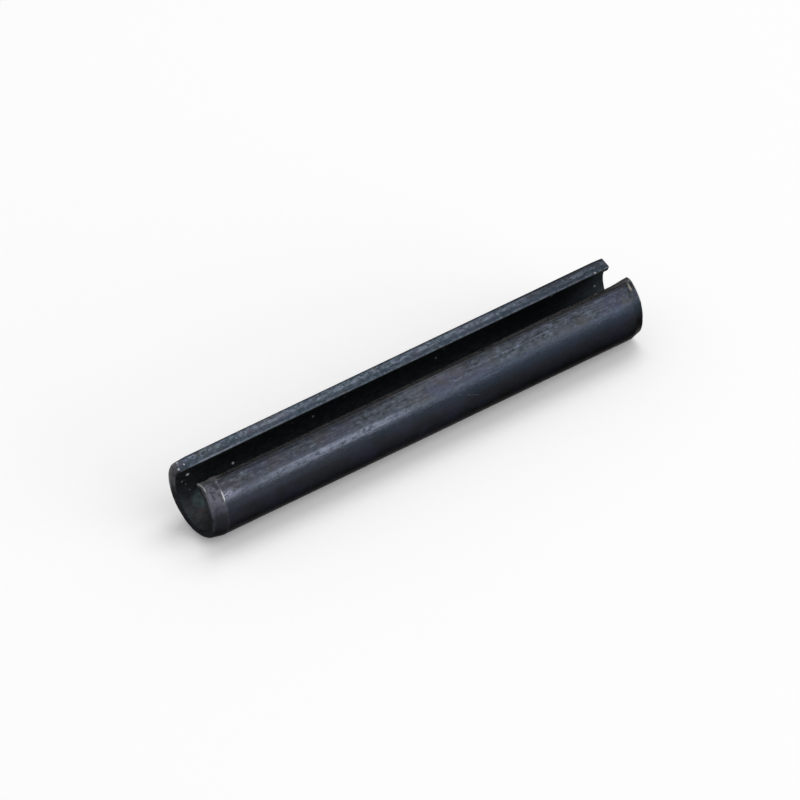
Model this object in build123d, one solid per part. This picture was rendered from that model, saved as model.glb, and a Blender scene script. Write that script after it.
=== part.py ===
"""Slotted spring pin, nominal size 5, length 32, in its free state.

One strip of hard spring steel is cut to length and rolled up across its width
into a C. The gap that stays open along the whole pin lets it close by some
0.4 mm when it is driven into a 5 mm hole, and the wall's spring then holds it
there. One end is swaged to a long shallow lead that finds the hole, the other
has a shorter and steeper one.

The pin lies on its side with the slot upwards, as it comes to rest on a table:
+X runs along the pin from the long lead, +Z up through the slot. The origin is
on the table, below the middle of the pin's length.
"""
from build123d import *
import os

# ---- driving dimensions, mm ------------------------------------------------
pin_length = 32.0
free_diameter = 5.4          # across the outside before it is driven home
wall = 0.75                  # thickness of the strip

slot_mouth = 3.45            # between the two lips, at the outer surface
slot_throat = 1.8            # between the two lips, at the bore
lip_outer_round = 0.16       # rolled edge of the strip, on the outside of the C
lip_inner_round = 0.05       # the same edge, on the bore side

lead_length = 0.95           # long lead, at the end that enters the hole first
lead_drop = 0.13             # how far that lead falls in below the outer surface
lead_flare_length = 1.50     # the lips fall back over this length, up to its end face
lead_flare_depth = 0.09      # and by so much, square to the lip
tail_length = 0.65           # short lead, at the struck end
tail_drop = 0.14
rim_round = 0.07             # worn corner between a lead and its end face
bore_edge_break = 0.05       # chamfer round the bore at each end face

# ---- what follows from them ------------------------------------------------
outer_radius = free_diameter / 2
bore_radius = outer_radius - wall
past_the_steel = 1.0         # a cutting tool runs this far out of what it cuts


def above_axis(radius, offset):
    """Point on a circle round the pin's axis, above it and offset to one side."""
    return Vector(offset, (radius**2 - offset**2) ** 0.5)


lip_mouth = above_axis(outer_radius, slot_mouth / 2)
lip_throat = above_axis(bore_radius, slot_throat / 2)


def rolled_strip():
    """The strip rolled to a C: two arcs closed by the two lips, run the pin's length."""
    far_mouth = Vector(-lip_mouth.X, lip_mouth.Y)
    far_throat = Vector(-lip_throat.X, lip_throat.Y)
    section = make_face(
        [
            ThreePointArc(lip_mouth, (0, -outer_radius), far_mouth),
            Line(far_mouth, far_throat),
            ThreePointArc(far_throat, (0, -bore_radius), lip_throat),
            Line(lip_throat, lip_mouth),
        ]
    )
    section = fillet(section.vertices().sort_by(SortBy.DISTANCE)[-2:], lip_outer_round)
    section = fillet(section.vertices().sort_by(SortBy.DISTANCE)[:2], lip_inner_round)
    return extrude(Plane.YZ * section, pin_length)


def swaging_die():
    """Solid of revolution that fits over the pin's outside, with both leads and worn rims."""
    half = Polyline(
        (0, 0),
        (0, outer_radius - lead_drop),
        (lead_length, outer_radius),
        (pin_length - tail_length, outer_radius),
        (pin_length, outer_radius - tail_drop),
        (pin_length, 0),
        close=True,
    )
    profile = make_face(half)
    columns = profile.vertices().group_by(Axis.X)
    rims = [end_face.sort_by(Axis.Y)[-1] for end_face in (columns[0], columns[-1])]
    return revolve(fillet(rims, rim_round), Axis.X)


def bore_edge_cutter():
    """Ring with a slanted inner side that breaks the edge of the bore at x = 0."""
    triangle = Polyline(
        (-past_the_steel, bore_radius + bore_edge_break + past_the_steel),
        (bore_edge_break + past_the_steel, bore_radius - past_the_steel),
        (-past_the_steel, bore_radius - past_the_steel),
        close=True,
    )
    return revolve(make_face(triangle), Axis.X)


def flare_cutter():
    """Takes the +Y lip back in an arc towards the end face at x = 0, through the wall."""
    along_lip = lip_mouth - lip_throat
    lip_face = Plane(
        origin=(0, lip_throat.X, lip_throat.Y),
        x_dir=(1, 0, 0),
        z_dir=(0, along_lip.X, along_lip.Y),
    )
    flare_radius = (lead_flare_length**2 + lead_flare_depth**2) / (2 * lead_flare_depth)
    stock = Rectangle(
        lead_flare_length + past_the_steel,
        flare_radius + past_the_steel,
        align=(Align.MAX, Align.MAX),
    )
    waste = Pos(lead_flare_length, flare_radius) * (stock - Circle(flare_radius))
    inside_bore = wall / 2
    through_wall = inside_bore + along_lip.length + past_the_steel
    return lip_face * Pos(0, 0, -inside_bore) * extrude(waste, through_wall)


# ---- the pin ---------------------------------------------------------------
middle = Plane.YZ.offset(pin_length / 2)
flare = flare_cutter()
bore_edges = bore_edge_cutter()

spring_pin = rolled_strip()
spring_pin -= flare + mirror(flare, Plane.XZ)
spring_pin &= swaging_die()
spring_pin -= bore_edges + mirror(bore_edges, middle)
spring_pin = Pos(-pin_length / 2, 0, outer_radius) * spring_pin
spring_pin.label = "spring_pin"

os.makedirs("parts", exist_ok=True)
export_step(spring_pin, "parts/spring_pin.step")
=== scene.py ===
import math

import bmesh
import bpy
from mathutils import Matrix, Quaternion, Vector, noise


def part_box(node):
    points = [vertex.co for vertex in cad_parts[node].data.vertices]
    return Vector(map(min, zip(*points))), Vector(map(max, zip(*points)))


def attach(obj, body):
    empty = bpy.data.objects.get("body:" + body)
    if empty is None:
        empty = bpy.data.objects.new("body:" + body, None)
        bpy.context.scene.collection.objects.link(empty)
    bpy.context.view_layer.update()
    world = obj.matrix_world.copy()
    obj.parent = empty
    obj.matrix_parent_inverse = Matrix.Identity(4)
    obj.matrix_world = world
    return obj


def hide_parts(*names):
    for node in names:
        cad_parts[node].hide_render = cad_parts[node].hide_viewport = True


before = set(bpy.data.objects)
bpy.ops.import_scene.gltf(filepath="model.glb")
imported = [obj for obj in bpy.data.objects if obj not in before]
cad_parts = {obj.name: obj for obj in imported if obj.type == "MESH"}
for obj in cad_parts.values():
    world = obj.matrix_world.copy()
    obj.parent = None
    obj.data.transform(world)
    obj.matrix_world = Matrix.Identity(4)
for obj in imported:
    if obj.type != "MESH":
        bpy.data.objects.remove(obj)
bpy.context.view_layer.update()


# ---- The rolled strip ----
# Spring steel strip, 0.75 mm thick, drawn, cut to length and rolled across its
# width into an open C. The shears leave the lips slanted, so that the slot is
# wider outside than at the bore, and rolling rounds their edges over.
mm = 0.001
node_low, node_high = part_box("spring_pin")
pin_length = node_high.x - node_low.x
outer_radius = 2.7 * mm
wall = 0.75 * mm
bore_radius = outer_radius - wall
axis = Vector((0, 0, node_low.z + outer_radius))
slot_mouth = 3.45 * mm
slot_throat = 1.8 * mm
lip_outer_round = 0.16 * mm
lip_inner_round = 0.05 * mm


def above_axis(radius, offset):
    """Point of the section at a radius, above the axis and offset sideways."""
    return Vector((offset, math.sqrt(radius**2 - offset**2)))


mouth = above_axis(outer_radius, slot_mouth / 2)
throat = above_axis(bore_radius, slot_throat / 2)
down_lip = (throat - mouth).normalized()
into_lip = Vector((-down_lip.y, down_lip.x))


def rolled_edge(corner, ball, touched_radius, centre_radius, steps):
    """Arc of a ball that touches the lip's face and the strip's outer or inner surface."""
    beside = corner + into_lip * ball
    nearest = -beside.dot(down_lip)
    reach = math.sqrt(nearest**2 - beside.length_squared + centre_radius**2)
    centre = beside + down_lip * (nearest - reach)
    to_surface = (centre.normalized() * touched_radius - centre) / ball
    return [
        centre + to_surface.slerp(-into_lip, step / steps) * ball
        for step in range(steps + 1)
    ]


steps_over_lip = 4
steps_round = 200
steps_along = 170
mouth_arc = rolled_edge(
    mouth, lip_outer_round, outer_radius, outer_radius - lip_outer_round, steps=6
)
throat_arc = rolled_edge(
    throat, lip_inner_round, bore_radius, bore_radius + lip_inner_round, steps=3
)
lip_face = [
    mouth_arc[-1].lerp(throat_arc[-1], step / steps_over_lip)
    for step in range(1, steps_over_lip)
]

# Each point of one lip is spun round to the other. The rows that this leaves are
# bridged to make the end face, and the face is copied to the far end. The outlines
# of the two are bridged in turn, and the sides that this makes are cut across.
strip = bmesh.new()
rows = []
for point in mouth_arc + lip_face + throat_arc[::-1]:
    corner = strip.verts.new((node_low.x, axis.y + point.x, axis.z + point.y))
    known = set(strip.edges)
    bmesh.ops.spin(
        strip,
        geom=[corner],
        cent=axis,
        axis=(1, 0, 0),
        angle=2 * math.atan2(point.x, point.y) - 2 * math.pi,
        steps=steps_round,
    )
    rows.append([edge for edge in strip.edges if edge not in known])
for outer_row, inner_row in zip(rows, rows[1:]):
    bmesh.ops.bridge_loops(strip, edges=outer_row + inner_row)
near_face = strip.verts[:] + strip.edges[:] + strip.faces[:]
far_face = bmesh.ops.duplicate(strip, geom=near_face)
far_vertices = [part for part in far_face["geom"] if isinstance(part, bmesh.types.BMVert)]
bmesh.ops.translate(strip, vec=(pin_length, 0, 0), verts=far_vertices)
outlines = [edge for edge in strip.edges if edge.is_boundary]
sides = bmesh.ops.bridge_loops(strip, edges=outlines)
bmesh.ops.subdivide_edges(strip, edges=sides["edges"], cuts=steps_along - 1)
bmesh.ops.remove_doubles(strip, verts=strip.verts, dist=0.001 * mm)
bmesh.ops.recalc_face_normals(strip, faces=strip.faces)

# Swaging closes both ends into leads that are a little out of true, and tumbling
# wears their rims round. A lead's drops are pairs: degrees round the pin from the
# middle of the slot towards +Y, and mm below the outer surface at the end face.
lead_length = 0.95 * mm
lead_start = 0.98 * mm
lead_rim = 0.09 * mm
lead_drops = [
    (0, 0.04), (50, 0.055), (75, 0.0), (112, 0.0), (145, 0.155), (165, 0.23), (183, 0.29),
    (203, 0.275), (218, 0.19), (235, 0.245), (265, 0.29), (315, 0.21), (360, 0.20),
]
tail_length = 0.70 * mm
tail_rim = 0.04 * mm
tail_drops = [
    (0, 0.03), (45, 0.03), (90, 0.14), (200, 0.14), (230, 0.20), (243, 0.24), (258, 0.27),
    (270, 0.22), (280, 0.175), (290, 0.10), (305, 0.10), (315, 0.11), (360, 0.10),
]
bore_edge_break = 0.05 * mm
end_grading = 0.9


def graded(share):
    """Even steps along the pin made short near its end faces and long between them."""
    return share - end_grading / (2 * math.pi) * math.sin(2 * math.pi * share)


def smooth_step(share):
    """0 to 1 with a soft start and end."""
    share = min(max(share, 0.0), 1.0)
    return share * share * (3 - 2 * share)


def fading(distance, reach):
    """1 at no distance, and softly down to 0 at the reach."""
    return 1 - smooth_step(distance / reach)


def hump(share):
    """1 halfway and 0 at either end."""
    return 4 * share * (1 - share)


def drop_at(angle, drops):
    """A lead's drop at an angle round the pin, softly between the degrees it is known at."""
    degrees = math.degrees(angle) % 360
    for (low, from_drop), (high, to_drop) in zip(drops, drops[1:]):
        if degrees <= high:
            softly = smooth_step((degrees - low) / (high - low))
            return (from_drop + (to_drop - from_drop) * softly) * mm


def swaged(from_end, length, drop, rim):
    """How far a lead and its rim lie below the outer surface, so far from the end face."""
    below = drop * max(0.0, 1 - from_end / length)
    if from_end < rim:
        below += rim - math.sqrt(rim**2 - (rim - from_end) ** 2)
    return below


# Knocks from handling, each with its distance from the lead's end face, its angle,
# its length and breadth, and its depth. The first stands up, where the lead starts.
knocks = [
    (lead_start, math.radians(-63), 0.05 * mm, 0.35 * mm, -0.022 * mm),
    (30.13 * mm, math.radians(-63), 0.09 * mm, 0.28 * mm, 0.035 * mm),
    (12.4 * mm, math.radians(-58), 0.25 * mm, 0.12 * mm, 0.012 * mm),
    (20.8 * mm, math.radians(-70), 0.40 * mm, 0.10 * mm, 0.012 * mm),
]


def knocked(along, angle):
    """How far the knocks together lower the outer surface at a place."""
    lowered = 0.0
    for from_end, turned, length, breadth, depth in knocks:
        lengthways = (along - from_end) / length
        round_it = (angle - turned) * outer_radius / breadth
        lowered += depth * math.exp(-(lengthways**2) - round_it**2)
    return lowered


# The -Y lip rises over the struck half and again at both ends, with a burr where
# the lead starts and a bulge of the wall at the struck end.
struck_half_rise = 0.07 * mm
struck_half_from = 18 * mm
struck_half_ramp = 8 * mm
struck_end_rise = 0.10 * mm
struck_end_reach = 1.5 * mm
lead_end_rise = 0.10 * mm
lead_end_reach = 1.0 * mm
burr_rise = 0.13 * mm
burr_from_end = 1.10 * mm
burr_length = 0.38 * mm
struck_bulge = 0.10 * mm
struck_bulge_reach = 0.9 * mm


def near_lip_rise(along, to_end, share):
    """How far up the -Y lip goes, at a share of the way from the bore to the outside."""
    rise = struck_half_rise * smooth_step((along - struck_half_from) / struck_half_ramp)
    rise += struck_end_rise * fading(to_end, struck_end_reach)
    rise += lead_end_rise * fading(along, lead_end_reach)
    rise += burr_rise * math.exp(-(((along - burr_from_end) / burr_length) ** 2))
    bulge = struck_bulge * fading(to_end, struck_bulge_reach)
    return rise * (1 - share) + bulge * hump(share)


# The +Y lip falls back in an arc towards the lead's end face. Its inner edge hangs a
# little deeper than the other's, and the wall beside it is thicker at the struck end.
flare_length = 1.50 * mm
flare_depth = 0.09 * mm
flare_radius = (flare_length**2 + flare_depth**2) / (2 * flare_depth)
inner_edge_deeper = 0.025 * mm
inner_edge_lead_deeper = 0.03 * mm
inner_edge_lead_reach = 12 * mm
inner_edge_lead_start = 1.8 * mm
inner_edge_struck_start = 2 * mm
struck_thickening = 0.12 * mm
struck_thickening_reach = 2 * mm


def flared(along, share):
    """How far back from the slot the +Y lip falls, half as far outside as at the bore."""
    if along > flare_length:
        return 0.0
    back = flare_radius - math.sqrt(flare_radius**2 - (flare_length - along) ** 2)
    return back * (1 - 0.5 * share)


def inner_edge_drop(along, to_end):
    """How much deeper the +Y lip's inner edge hangs, none of it at the end faces."""
    deeper = inner_edge_deeper + inner_edge_lead_deeper * fading(along, inner_edge_lead_reach)
    deeper *= smooth_step(along / inner_edge_lead_start)
    return deeper * smooth_step(to_end / inner_edge_struck_start)


# Both lips are shifted over a zone beside the slot, and are faintly wavy. The
# strip's own corners are rounded at the lead's end face.
lip_zone = 0.8 * mm
lip_wave = 0.02 * mm
lip_wave_length = 4 * mm
lip_waves_apart = 7.0
waves_through_wall = 3
lip_corner_round = 0.20 * mm
mouth_angle = math.atan2(mouth.x, mouth.y)
throat_angle = math.atan2(throat.x, throat.y)


def finished(swept):
    """Where a point of the plain swept strip lies on the finished pin."""
    along = pin_length * graded((swept.x - node_low.x) / pin_length)
    to_end = pin_length - along
    place = Vector((swept.y - axis.y, swept.z - axis.z))
    radius = place.length
    share = (radius - bore_radius) / wall
    angle = math.atan2(place.x, place.y)
    outward = place / radius

    outer_here = outer_radius - knocked(along, angle)
    outer_here -= swaged(along, lead_length, drop_at(angle, lead_drops), lead_rim)
    outer_here -= swaged(to_end, tail_length, drop_at(angle, tail_drops), tail_rim)
    bore_here = bore_radius + max(0.0, bore_edge_break - along, bore_edge_break - to_end)
    place = outward * (bore_here + (outer_here - bore_here) * share)

    from_lip = radius * (abs(angle) - throat_angle - share * (mouth_angle - throat_angle))
    near_lip = fading(from_lip, lip_zone)
    side = 1 if place.x > 0 else -1
    into_this_lip = Vector((side * into_lip.x, into_lip.y))
    if side < 0:
        place.y += near_lip_rise(along, to_end, share) * near_lip
    else:
        place += into_this_lip * flared(along, share) * near_lip
        place += down_lip * inner_edge_drop(along, to_end) * near_lip * (1 - share)
        thicker = struck_thickening * fading(to_end, struck_thickening_reach)
        place -= outward * thicker * hump(near_lip) * (1 - share)
    wave_at = (along / lip_wave_length, side * lip_waves_apart, waves_through_wall * share)
    wave = 0.5 + 0.5 * noise.noise(Vector(wave_at))
    place += into_this_lip * lip_wave * wave * near_lip

    if from_lip < lip_corner_round:
        left = 1 - max(from_lip, 0.0) / lip_corner_round
        corner = lip_corner_round * (1 - math.sqrt(1 - left * left))
        along += corner * fading(along, 3 * lip_corner_round)
    top = min(axis.z + place.y, node_high.z)
    return Vector((node_low.x + along, axis.y + place.x, top))


for vertex in strip.verts:
    vertex.co = finished(vertex.co)

mesh = bpy.data.meshes.new("spring_pin_steel")
strip.to_mesh(mesh)
strip.free()
mesh.shade_smooth()
pin = bpy.data.objects.new("spring_pin_steel", mesh)
bpy.context.scene.collection.objects.link(pin)
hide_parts("spring_pin")
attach(pin, "root")


class Shade:
    """A socket of a material's nodes. Sums and products of it add Math nodes."""

    def __init__(self, tree, socket=None):
        self.tree = tree
        self.socket = socket

    def node(self, kind, inputs, output=0, **settings):
        """Adds a node: its settings first, then values or links by socket."""
        made = self.tree.nodes.new(kind)
        for name, setting in settings.items():
            setattr(made, name, setting)
        for name, value in inputs.items():
            if isinstance(value, Shade):
                self.tree.links.new(value.socket, made.inputs[name])
            else:
                made.inputs[name].default_value = value
        return Shade(self.tree, made.outputs[output])

    def math(self, operation, *others):
        return self.node("ShaderNodeMath", dict(enumerate((self, *others))), operation=operation)

    def __add__(self, other):
        return self.math("ADD", other)

    def __sub__(self, other):
        return self.math("SUBTRACT", other)

    def __rsub__(self, other):
        return self.node("ShaderNodeMath", {0: other, 1: self}, operation="SUBTRACT")

    def __mul__(self, other):
        return self.math("MULTIPLY", other)

    __radd__ = __add__
    __rmul__ = __mul__

    def between(self, low, high):
        """0 at low, 1 at high, a soft step between them and level past either."""
        return self.node(
            "ShaderNodeMapRange",
            {"Value": self, "From Min": low, "From Max": high},
            interpolation_type="SMOOTHSTEP",
        )

    def near(self, middle, edge, core):
        """1 within the core's half width of a middle, and softly 0 at the edge's."""
        return (self - middle).math("ABSOLUTE").between(edge, core)

    def mix(self, first, second):
        """The first colour where this mask is 0, and the second where it is 1.

        A Mix node repeats the names of its sockets, so they are told by number.
        """
        return self.node(
            "ShaderNodeMix", {0: self, 6: first, 7: second}, output=2, data_type="RGBA"
        )

    def tint(self, colour, mask):
        """This colour, with another over it where the mask lets it through."""
        return mask.mix(self, colour)

    def feed(self, shader, name):
        """Links this to a socket of a shader."""
        self.tree.links.new(self.socket, shader.inputs[name])


# Places on the steel: mm from the middle of the axis, radians round it from the
# middle of the slot, and mm from either end face.
steel = bpy.data.materials.new("blackened_spring_steel")
steel.use_nodes = True
finish = steel.node_tree.nodes["Principled BSDF"]
oxide = Shade(steel.node_tree)
in_mm = oxide.node(
    "ShaderNodeMapping",
    {
        "Vector": oxide.node("ShaderNodeTexCoord", {}, output="Object"),
        "Location": (0, 0, -outer_radius / mm),
        "Scale": (1 / mm,) * 3,
    },
)
along, across, height = (
    oxide.node("ShaderNodeSeparateXYZ", {"Vector": in_mm}, output=part) for part in "XYZ"
)
from_axis = (across * across + height * height).math("SQRT")
around = across.math("ARCTAN2", height)
from_lead = along + pin_length / mm / 2
from_tail = pin_length / mm / 2 - along
far_half = along.between(-6, 14)

# Places on a lip: mm below its face, and mm down it from the mouth of the slot.
aside = across.math("ABSOLUTE") - mouth.x / mm
raised = height - mouth.y / mm
below_lip = aside * into_lip.x + raised * into_lip.y
down_the_lip = aside * down_lip.x + raised * down_lip.y
lip = below_lip.between(0.10, 0.03)
near_side = across.between(0.5, -0.5)
outside = from_axis.between(2.30, 2.36) * (1 - lip)
inside = from_axis.between(2.0, 1.965)


def grain(scale, detail=4.0, roughness=0.6, stretch=(1, 1, 1), shift=(0, 0, 0)):
    """Noise over the steel, so many waves to the millimetre, drawn out by stretch."""
    spread = oxide.node(
        "ShaderNodeMapping", {"Vector": in_mm, "Location": shift, "Scale": stretch}
    )
    return oxide.node(
        "ShaderNodeTexNoise",
        {"Vector": spread, "Scale": scale, "Detail": detail, "Roughness": roughness},
    )


def spot(x, y, z, size):
    """1 within a distance of a place, in mm from the middle of the axis."""
    away = oxide.node(
        "ShaderNodeVectorMath", {0: in_mm, 1: (x, y, z)}, output="Value", operation="DISTANCE"
    )
    return away.between(size, 0.5 * size)


drawn = grain(1.0, 5, 0.65, stretch=(0.15, 5.0, 5.0))
fine_drawn = grain(1.0, 3, 0.6, stretch=(0.5, 18.0, 18.0), shift=(3, 1, 7))
flecks = grain(1.0, 4, 0.75, stretch=(2.0, 5.0, 5.0), shift=(8, 3, 1))
pits = grain(4.0, 4, 0.8, shift=(9, 2, 4))
heat_blue = grain(0.55, 3, 0.6, shift=(5, 8, 3))
heat_brown = grain(0.70, 4, 0.6, shift=(1, 6, 12))
uneven = grain(2.2, 4, 0.7, shift=(4, 4, 9))
rubbed = drawn * 0.25 + fine_drawn * 0.15 + flecks * 0.30 + pits * 0.30

blue_black = (0.0185, 0.0203, 0.0245, 1)
worn_grey = (0.0365, 0.0425, 0.051, 1)
rubbed_grey = (0.071, 0.083, 0.122, 1)
sheared_grey = (0.10, 0.10, 0.105, 1)
lilac = (0.030, 0.032, 0.051, 1)
teal = (0.016, 0.024, 0.031, 1)
umber = (0.031, 0.029, 0.028, 1)
bare_steel = (0.40, 0.395, 0.385, 1)

# Black oxide over drawn steel, lighter towards the top and darker towards the bottom.
# It took some blue and some brown as it was heated.
higher_up = height.between(0.2, 1.2)
base = (higher_up * 0.55 + 0.15).mix(blue_black, worn_grey)
base = base.tint((0.011, 0.013, 0.017, 1), rubbed.between(0.51, 0.42) * (higher_up * 0.75 + 0.25))
base = base.tint(rubbed_grey, rubbed.between(0.52, 0.60) * (higher_up * 0.80 + 0.05))
base = base.tint(lilac, heat_blue.between(0.42, 0.60) * 0.6)
base = base.tint(umber, heat_brown.between(0.50, 0.68) * 0.5)

# A bluer band lies along either flank, deeper past the middle and paler by the lead.
blue_band = height.between(1.3, 0.9) * height.between(0.0, 0.35)
base = base.tint((0.024, 0.033, 0.048, 1), blue_band * (along.between(-8, 6) * 0.3 + 0.3))
base = base.tint((0.062, 0.065, 0.080, 1), blue_band * along.between(-3, -9) * 0.18)

# The lips' sheared faces took a teal oxide in places. They are rubbed in patches, and lighter
# along their worn inner edge, which carries a painted highlight. They are darker in the middle and
# by the struck end, and the -Y one is greyer than the other.
lip_wear = (pits * 0.6 + flecks * 0.4).between(0.47, 0.58)
lip_middle = down_the_lip.between(0.42, 0.56) * down_the_lip.between(0.76, 0.68)
lip_upper = down_the_lip.near(0.34, 0.15, 0.06) * from_lead.between(4, 7) * from_tail.between(4, 8)
base = base.tint(teal, lip * heat_brown.between(0.62, 0.40) * 0.7)
base = base.tint((0.068, 0.083, 0.104, 1), lip * lip_wear * 0.7)
base = base.tint((0.012, 0.017, 0.023, 1), lip * lip_middle * (far_half * 0.2 + 0.6))
base = base.tint((0.085, 0.101, 0.121, 1), lip * lip_upper * flecks.between(0.40, 0.56) * 0.28)

struck_end = from_tail.between(10, 1) * rubbed.between(0.56, 0.44)
struck_edge = down_the_lip.between(0.30, 0.14) * from_tail.between(11, 4)
struck_corner = down_the_lip.between(0.52, 0.34) * from_tail.between(6.0, 4.5)
base = base.tint((0.010, 0.011, 0.015, 1), lip * struck_end * 0.6)
base = base.tint((0.012, 0.014, 0.019, 1), lip * struck_edge * 0.5)
base = base.tint((0.013, 0.014, 0.016, 1), lip * struck_corner * 0.42)

throat_edge_wear_and_highlight = lip * down_the_lip.near(0.84, 0.11, 0.03) * from_lead.between(0, 2.5)
# Painted highlight on the worn inner edge of each lip.
base = base.tint((0.13, 0.148, 0.175, 1), throat_edge_wear_and_highlight * (from_lead.between(9, 1) * 0.45 + 0.10))
base = base.tint(sheared_grey, lip * near_side * rubbed.between(0.40, 0.52))
base = base.tint(blue_black, lip * near_side * far_half * 0.35)

# Painted shade darkens the rolled edge outside a lip, and two bands below the -Y one on the
# half by the lead.
mouth_edge_shade = down_the_lip.near(0.04, 0.16, 0.05) * height.between(1.6, 1.8)
mouth_edge_shade *= near_side * 0.75 + (1 - near_side) * (far_half * 0.40 + 0.35)
below_mouth_shade = around.near(-0.735, 0.09, 0.03) * along.between(0, -5)
shoulder_shade = around.near(-0.97, 0.15, 0.06) * along.between(0, -7)
# Painted shade on the rolled edge and below it.
base = base.tint((0.008, 0.009, 0.012, 1), mouth_edge_shade)
base = base.tint((0.010, 0.011, 0.014, 1), below_mouth_shade * 0.55)
base = base.tint(blue_black, shoulder_shade * 0.4)

# The die rubbed the long lead to a grey that is partly painted light, darker low down with painted
# shade, and lighter at its two worn edges with painted highlights.
lead_line = lead_start / mm
lead = from_lead.between(1.00, 0.92) * outside
lead_edge_wear_and_highlight = (from_lead.between(0.24, 0.14) + from_lead.near(lead_line, 0.09, 0.03)) * outside
painted_lead_light_by_height = height.between(-0.2, 0.9)
# Painted light on the upper lead, painted shade low down.
base = base.tint((0.083, 0.082, 0.100, 1), lead * pits.between(0.30, 0.60) * (painted_lead_light_by_height * 0.95 + 0.05))
# Painted highlights on the lead's worn edges.
base = base.tint(
    (0.085, 0.088, 0.100, 1), lead_edge_wear_and_highlight * uneven.between(0.35, 0.60) * (painted_lead_light_by_height * 0.5 + 0.3)
)

# A painted highlight lies along the -Y flank as a bright strip by the lead and a fainter one below
# it further on. A pale and a dark patch lie above them, and handling scored the top.
painted_highlight_strip = around.near(-1.168, 0.115, 0.035) * from_lead.near(9.5, 7.0, 2.0)
faint_painted_highlight = around.near(-1.235, 0.11, 0.04) * along.between(6, 1)
upper_flank_patches = around.near(-0.79, 0.17, 0.05)
top = height.between(1.2, 1.6) * outside
top_lines = flecks * 0.45 + fine_drawn * 0.35 + pits * 0.2
# Painted highlight strip by the lead.
base = base.tint((0.100, 0.108, 0.136, 1), painted_highlight_strip * rubbed.between(0.42, 0.55) * 0.75)
base = base.tint((0.100, 0.108, 0.124, 1), upper_flank_patches * along.near(0.6, 3.2, 1.2) * 0.13)
base = base.tint((0.016, 0.018, 0.021, 1), upper_flank_patches * along.near(-6.0, 3.0, 1.2) * 0.20)
base = base.tint((0.014, 0.016, 0.019, 1), top * top_lines.between(0.50, 0.43) * 0.40)
base = base.tint((0.085, 0.092, 0.108, 1), top * top_lines.between(0.51, 0.58) * 0.26)
# Fainter painted highlight further on.
base = base.tint((0.075, 0.083, 0.108, 1), faint_painted_highlight * rubbed.between(0.42, 0.56) * 0.3)

# Painted shade darkens the underside, more so towards the struck end.
underside_shade = height.between(0.25, -0.5) * 0.31
underside_shade += height.between(0.8, 0.0) * along.between(0, 9) * 0.30
base = base.tint((0.007, 0.008, 0.010, 1), underside_shade * outside)

# One scratch slants across the flank past the middle.
scratch_along = 2.68
scratch_around = -1.451
scratch_slant = 0.168
off_scratch = around - scratch_around + (along - scratch_along) * scratch_slant
scratch = off_scratch.near(0, 0.014, 0.004) * along.near(scratch_along, 0.95, 0.75)
base = base.tint(rubbed_grey, scratch * flecks.between(0.46, 0.52) * 0.8)

# The bore was never rubbed, and its oxide is dull and even. Painted shade darkens it towards the
# struck end, it is darker in its broken edge, and painted light makes it paler low down inside the
# lead.
lit_end = from_lead.between(1.6, 0.2) * from_lead.between(0.05, 0.14) * height.between(-0.8, -1.7)
bore_break = from_axis.between(2.06, 2.01) * from_lead.between(0.10, 0.05)
base = base.tint((0.052, 0.059, 0.065, 1), inside * 0.9)
# Painted shade towards the struck end.
base = base.tint((0.026, 0.032, 0.036, 1), inside * along.between(5, 12))
# Painted light low down inside the lead.
base = base.tint((0.080, 0.086, 0.086, 1), inside * lit_end * 0.4)
base = base.tint((0.012, 0.013, 0.015, 1), bore_break * 0.8)

# Bare steel shows on the worn rims, on the knock that stands up and at the end of
# the -Y lip.
rim = from_axis.between(outer_radius / mm - 0.30, outer_radius / mm - 0.16)
near_rim = rim * from_lead.between(0.09, 0.03)
far_rim = rim * from_tail.between(0.09, 0.03) * height.between(-0.4, 0.6)
nick = from_lead.near(lead_line, 0.065, 0.02) * around.near(-1.11, 0.15, 0.08)
lip_end = from_lead.near(0.11, 0.045, 0.02)
lip_end *= across.between(-0.80, -0.95) * height.between(1.60, 1.72)
worn = (near_rim + far_rim) * uneven.between(0.42, 0.62) * 0.5
worn = worn.math("MAXIMUM", nick.math("MAXIMUM", lip_end) * 0.45)
base = base.tint(bare_steel, worn)

# Dark flecks lie all over the bore, with a green and a reddish stain inside the lead.
green_stain = spot(-14.65, 1.50, -1.25, 0.70) * uneven.between(0.35, 0.60)
red_stain = spot(-14.92, 0.80, -1.76, 0.50) * uneven.between(0.35, 0.60)
base = base.tint((0.012, 0.014, 0.015, 1), inside * flecks.between(0.58, 0.42) * 0.5)
base = base.tint((0.085, 0.118, 0.120, 1), green_stain)
base = base.tint((0.090, 0.066, 0.072, 1), red_stain * 0.6)

# Smaller rubs: a yellowish one by the struck end's rim, a dark and a light spot on the -Y side of
# the lead, and a grey arc on its end face. A painted highlight lies past the raised knock.
by_rim = from_tail.near(0.36, 0.10, 0.02) * around.near(-0.80, 0.13, 0.04)
highlight_past_nick = from_lead.between(2.6, 1.0) * from_lead.between(0.98, 1.04)
highlight_past_nick *= around.near(-1.12, 0.17, 0.03)
dark_spot = spot(-15.10, -1.95, 1.85, 0.45) * flecks.between(0.55, 0.45)
light_spot = spot(-14.95, -1.40, 2.10, 0.50) * flecks.between(0.40, 0.50)
end_arc = from_lead.between(0.10, 0.03) * across.between(0.9, 1.6) * height.between(-0.6, 0.6)
base = base.tint((0.17, 0.166, 0.135, 1), by_rim * pits.between(0.36, 0.54))
# Painted highlight past the raised knock.
base = base.tint((0.110, 0.111, 0.148, 1), highlight_past_nick * flecks.between(0.38, 0.55) * 0.8)
base = base.tint((0.020, 0.020, 0.024, 1), dark_spot * 0.8)
base = base.tint((0.110, 0.108, 0.110, 1), light_spot * 0.8)
base = base.tint((0.105, 0.108, 0.112, 1), end_arc * uneven.between(0.30, 0.55) * 0.7)

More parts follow.
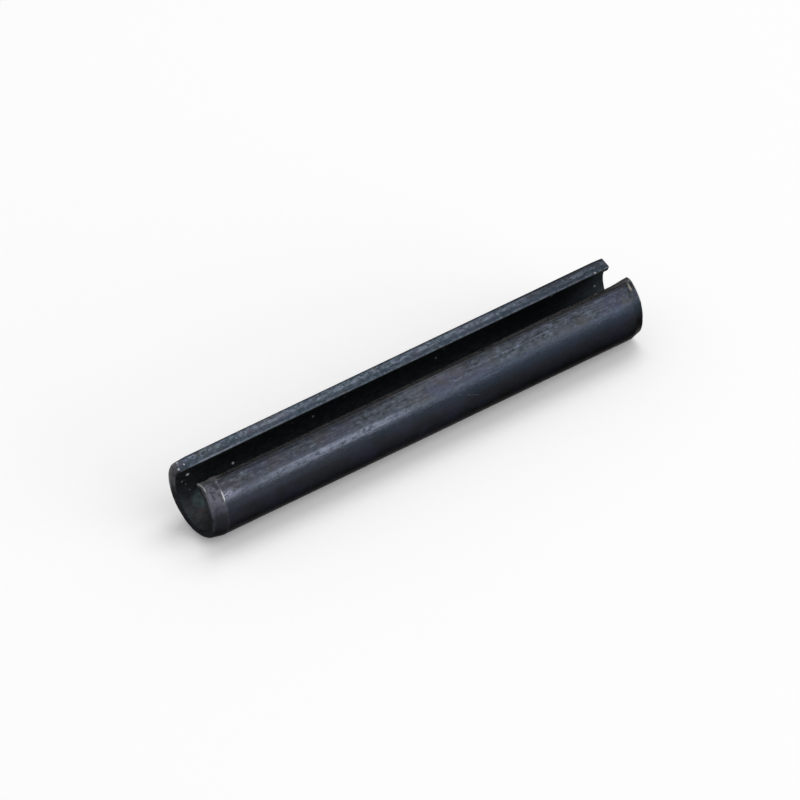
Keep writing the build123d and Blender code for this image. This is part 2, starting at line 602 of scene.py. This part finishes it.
# Specks of pale dust, each with its place and size in mm and its strength.
dust = spot(-15.74, 1.63, 1.94, 0.07) * 0.5
for x, y, z, size, strength in (
    (-15.44, 1.31, 1.85, 0.07, 0.5),
    (-15.92, 1.22, 1.75, 0.10, 0.6),
    (-15.04, 1.85, 0.61, 0.15, 1.0),
    (-15.46, 1.94, 0.23, 0.08, 0.5),
    (-15.21, 1.95, -0.09, 0.06, 0.5),
    (-15.04, 1.87, -0.55, 0.06, 0.3),
    (-11.77, 1.94, -0.18, 0.12, 1.0),
    (-7.35, 1.79, 0.78, 0.07, 0.4),
    (-5.77, 1.90, 0.45, 0.10, 0.8),
    (-3.46, 1.73, 0.89, 0.08, 0.5),
    (3.38, 1.91, 0.41, 0.10, 0.6),
    (3.95, 1.71, 0.94, 0.09, 0.4),
    (11.95, 1.54, 1.20, 0.09, 0.7),
    (15.32, 1.95, 0.12, 0.11, 0.25),
    (13.62, -1.01, 1.83, 0.12, 0.4),
    (14.96, 1.00, 1.77, 0.11, 0.2),
):
    dust = dust.math("MAXIMUM", spot(x, y, z, size) * strength)
base = base.tint((0.55, 0.56, 0.56, 1), dust)

# A satin finish, smoother where it is bare and duller in the bore and under dust.
roughness = (
    0.22
    + fine_drawn.between(0.3, 0.7) * 0.06
    + pits.between(0.35, 0.65) * 0.10
    + lead * 0.06
    + inside * 0.30
    + dust * 0.40
    - worn * 0.05
)
relief_depth = 0.016 * mm
texture = fine_drawn * 0.3 + drawn * 0.4 + pits * 0.9 + flecks * 0.7
relief = oxide.node(
    "ShaderNodeBump", {"Strength": 1.0, "Distance": relief_depth, "Height": texture}
)
base.feed(finish, "Base Color")
roughness.feed(finish, "Roughness")
(1 - dust).feed(finish, "Metallic")
relief.feed(finish, "Normal")
finish.inputs["Specular Tint"].default_value = (0.43, 0.42, 0.405, 1)
mesh.materials.append(steel)


# ---- Sheet of white card ----
# The pin lies on a sheet of matt white card that runs out of view on every side.
# Seen directly or in the steel it glows faintly, so that it keeps to white.
card_half = 3.0
card_white = (0.95, 0.95, 0.95, 1)
card_glow = (0.14, 0.14, 0.14, 1)
no_glow = (0, 0, 0, 1)
card = bmesh.new()
bmesh.ops.create_grid(card, x_segments=1, y_segments=1, size=card_half)
card_mesh = bpy.data.meshes.new("floor")
card.to_mesh(card_mesh)
card.free()
floor = bpy.data.objects.new("floor", card_mesh)
bpy.context.scene.collection.objects.link(floor)


def seen(shade):
    """1 for a ray from the camera, a reflection or a see-through piece, and 0 for light."""
    rays = [
        shade.node("ShaderNodeLightPath", {}, output=ray)
        for ray in ("Is Camera Ray", "Is Glossy Ray", "Is Transmission Ray")
    ]
    return rays[0].math("MAXIMUM", rays[1]).math("MAXIMUM", rays[2])


paper = bpy.data.materials.new("white_card")
paper.use_nodes = True
matt = paper.node_tree.nodes["Principled BSDF"]
matt.inputs["Base Color"].default_value = card_white
matt.inputs["Roughness"].default_value = 1
matt.inputs["Specular IOR Level"].default_value = 0
matt.inputs["Emission Strength"].default_value = 1
seen(Shade(paper.node_tree)).mix(no_glow, card_glow).feed(matt, "Emission Color")
card_mesh.materials.append(paper)


# ---- Studio light ----
# Three soft boxes, one low and one higher in front of the pin and one overhead,
# stand in a white room that looks brighter than the light it gives.
def soft_box(name, direction, distance, width, tall, radiance):
    """A rectangular lamp that shines on the pin from one side."""
    lamp = bpy.data.lights.new(name, "AREA")
    lamp.shape = "RECTANGLE"
    lamp.size = width
    lamp.size_y = tall
    lamp.energy = radiance * math.pi * width * tall
    box = bpy.data.objects.new(name, lamp)
    bpy.context.scene.collection.objects.link(box)
    box.location = axis + Vector(direction).normalized() * distance
    box.rotation_euler = Vector(direction).to_track_quat("Z", "Y").to_euler()
    box.visible_camera = False


soft_box("low_box", (0.330, -0.926, 0.176), distance=1.5, width=1.25, tall=0.36, radiance=3.6)
soft_box("front_box", (0.330, -0.710, 0.620), distance=1.5, width=1.25, tall=1.20, radiance=1.45)
soft_box("top_box", (0.386, 0.160, 0.908), distance=1.4, width=0.9, tall=0.9, radiance=2.3)

wall_light = 0.45
world = bpy.data.worlds.new("studio")
world.use_nodes = True
backdrop = world.node_tree.nodes["Background"]
backdrop.inputs["Color"].default_value = (1, 1, 1, 1)
room_light = seen(Shade(world.node_tree)) * (1 - wall_light) + wall_light
room_light.feed(backdrop, "Strength")
bpy.context.scene.world = world
bpy.context.scene.view_settings.view_transform = "Standard"


# ---- Camera ----
# A long lens, far off, looks down on the pin from the side of its long lead and is
# tipped a little sideways. Its aim is shifted from the middle of the pin's axis.
view_azimuth = math.radians(-27.900)
view_elevation = math.radians(34.501)
view_roll = math.radians(-8.868)
view_distance = 770.6 * mm
aim_right = -0.498 * mm
aim_up = -0.1206 * mm
towards_camera = Vector((
    math.sin(view_azimuth) * math.cos(view_elevation),
    -math.cos(view_azimuth) * math.cos(view_elevation),
    math.sin(view_elevation),
))
camera_data = bpy.data.cameras.new("camera")
camera_data.sensor_width = 36
camera_data.lens = 558.96
camera_data.clip_start = 0.05
camera_data.clip_end = 20
camera = bpy.data.objects.new("camera", camera_data)
bpy.context.scene.collection.objects.link(camera)
turn = (-towards_camera).to_track_quat("-Z", "Y") @ Quaternion((0, 0, 1), view_roll)
camera.rotation_mode = "QUATERNION"
camera.rotation_quaternion = turn
camera.location = axis + towards_camera * view_distance + turn @ Vector((aim_right, aim_up, 0))
bpy.context.scene.camera = camera
